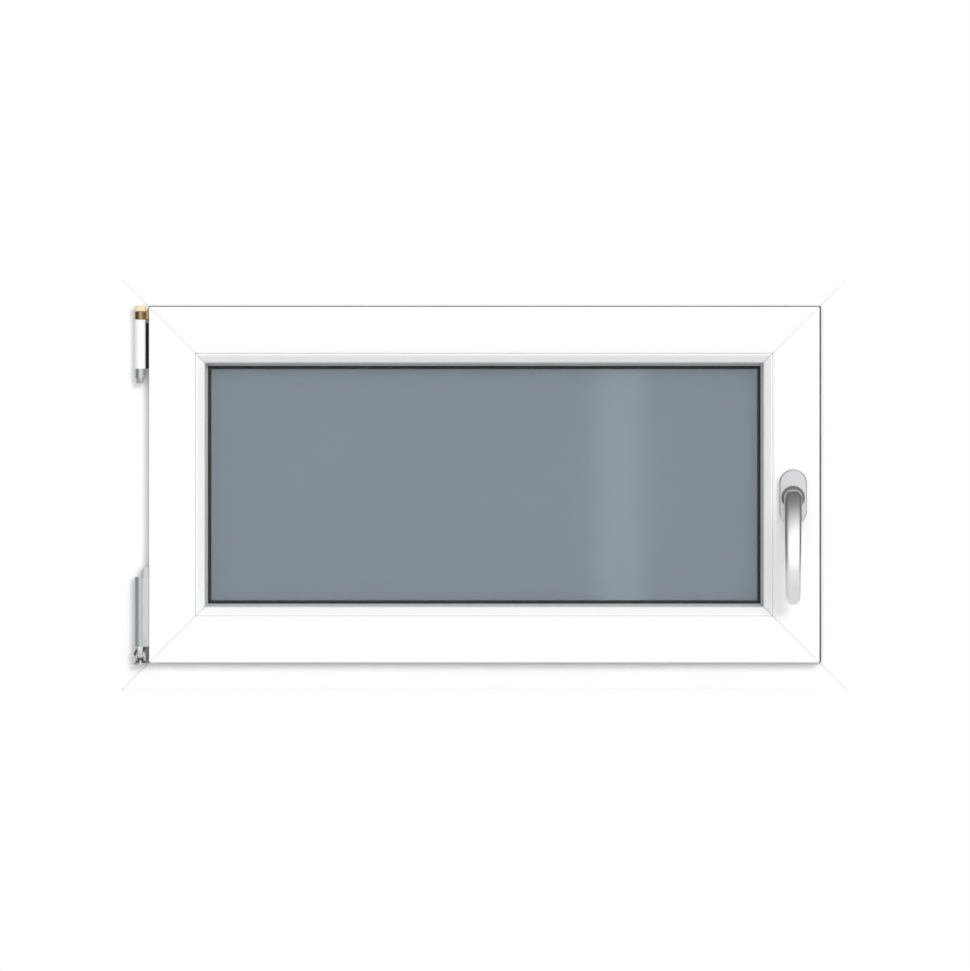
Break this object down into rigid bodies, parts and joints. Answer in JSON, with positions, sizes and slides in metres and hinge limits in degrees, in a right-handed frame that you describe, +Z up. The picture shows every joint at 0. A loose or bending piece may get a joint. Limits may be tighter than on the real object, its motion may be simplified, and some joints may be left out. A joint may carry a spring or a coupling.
{
  "type": "tilt and turn window",
  "caption": "White plastic inward-opening tilt-and-turn window with a glazed sash, left-hand hinges, a lever handle and the hidden drive gear that moves its locking cams.",
  "frame": {"origin": "middle of the fixed frame's flat bottom face", "axes": "+X to the right seen from the room, +Y from the room to the outside, +Z up"},
  "size_m": [0.9, 0.142, 0.509],
  "materials": {
    "white_plastic": "smooth extruded rigid white plastic, soft gloss",
    "bead_plastic": "smooth extruded rigid white plastic, soft gloss",
    "galvanised_steel": "hot-dip galvanised sheet steel",
    "grey_rubber": "extruded light grey sealing rubber",
    "dark_rubber": "extruded dark grey sealing rubber",
    "float_glass": "clear float glass that looks grey-blue against daylight",
    "black_spacer": "matt black warm-edge spacer",
    "black_sealant": "black edge sealant",
    "block_plastic": "moulded hard plastic",
    "white_cover": "moulded white plastic cover",
    "cream_cap": "moulded cream plastic cap",
    "zinc_die_casting": "die-cast zinc with a grey passivated coat",
    "polished_zinc": "tumbled and polished zinc casting",
    "zinc_plated_steel": "pressed steel, silver zinc plate",
    "screw_steel": "zinc-plated steel screws",
    "satin_aluminium": "cast aluminium, satin anodised"
  },
  "bodies": {
    "frame": {"frame_head": "white_plastic", "frame_sill": "white_plastic", "frame_hinge_jamb": "white_plastic", "frame_lock_jamb": "white_plastic", "frame_steels": "galvanised_steel", "frame_gasket": "grey_rubber", "drain_caps": "white_cover", "run_up_block": "block_plastic", "corner_bearing": "zinc_die_casting", "stay_bearing": "zinc_die_casting", "stay_pin": "zinc_plated_steel", "stay_cap": "cream_cap", "hinge_sleeve": "white_cover", "frame_hinge_screws": "screw_steel", "keeps": "zinc_die_casting", "keep_screws": "screw_steel"},
    "pivot": {"pivot_cup": "polished_zinc"},
    "sash": {"sash_top_rail": "white_plastic", "sash_bottom_rail": "white_plastic", "sash_hinge_stile": "white_plastic", "sash_lock_stile": "white_plastic", "sash_steels": "galvanised_steel", "bead_top": "bead_plastic", "bead_bottom": "bead_plastic", "bead_hinge_side": "bead_plastic", "bead_lock_side": "bead_plastic", "bead_gasket": "grey_rubber", "outer_glass_gasket": "grey_rubber", "overlap_gasket": "dark_rubber", "glass_inner": "float_glass", "glass_outer": "float_glass", "glass_spacer": "black_spacer", "glass_sealant": "black_sealant", "setting_blocks": "block_plastic", "sash_hinge": "zinc_die_casting", "tilt_pin": "polished_zinc", "sash_hinge_screws": "screw_steel", "lock_faceplate": "zinc_plated_steel", "stay_rail": "zinc_plated_steel", "bottom_faceplate": "zinc_plated_steel", "corner_drives": "zinc_plated_steel", "corner_strips": "zinc_plated_steel", "faceplate_screws": "screw_steel", "gearbox": "zinc_die_casting", "rosette": "satin_aluminium", "handle_base": "zinc_die_casting", "handle_screws": "screw_steel", "neck_ring": "satin_aluminium"},
    "stay": {"stay_arm": "zinc_plated_steel", "stay_stud": "zinc_plated_steel"},
    "handle": {"handle_lever": "satin_aluminium", "spindle": "zinc_plated_steel", "gear_pinion": "zinc_plated_steel"},
    "lock_drive": {"lock_rod": "zinc_plated_steel", "lock_cams": "zinc_plated_steel"},
    "top_drive": {"top_rod": "zinc_plated_steel", "top_cam": "zinc_plated_steel"},
    "bottom_drive": {"bottom_rod": "zinc_plated_steel", "bottom_cam": "zinc_plated_steel"}
  },
  "joints": [
    {"name": "turn", "type": "hinge", "parent": "frame", "child": "pivot", "pos_m": [-0.4273, -0.0455, 0.042], "axis": [0, 0, -1], "range_deg": [0, 90]},
    {"name": "tilt", "type": "hinge", "parent": "pivot", "child": "sash", "pos_m": [-0.4273, -0.0455, 0.042], "axis": [1, 0, 0], "range_deg": [0, 10]},
    {"name": "stay_swing", "type": "hinge", "parent": "pivot", "child": "stay", "pos_m": [-0.4273, -0.0455, 0.465], "axis": [0, 0, -1], "range_deg": [0, 16.7]},
    {"name": "handle_turn", "type": "hinge", "parent": "sash", "child": "handle", "pos_m": [0.3837, -0.0255, 0.2386], "axis": [0, 1, 0], "range_deg": [0, 180]},
    {"name": "lock_slide", "type": "slide", "parent": "sash", "child": "lock_drive", "axis": [0, 0, -1], "range_m": [0, 0.02702]},
    {"name": "top_slide", "type": "slide", "parent": "sash", "child": "top_drive", "axis": [1, 0, 0], "range_m": [0, 0.02702]},
    {"name": "bottom_slide", "type": "slide", "parent": "sash", "child": "bottom_drive", "axis": [-1, 0, 0], "range_m": [0, 0.02702]}
  ],
  "couplings": [
    {"joint": "stay_swing", "follows": "tilt", "ratio": 1.67},
    {"joint": "lock_slide", "follows": "handle_turn", "m_per_rad": 0.0086},
    {"joint": "top_slide", "follows": "handle_turn", "m_per_rad": 0.0086},
    {"joint": "bottom_slide", "follows": "handle_turn", "m_per_rad": 0.0086}
  ]
}
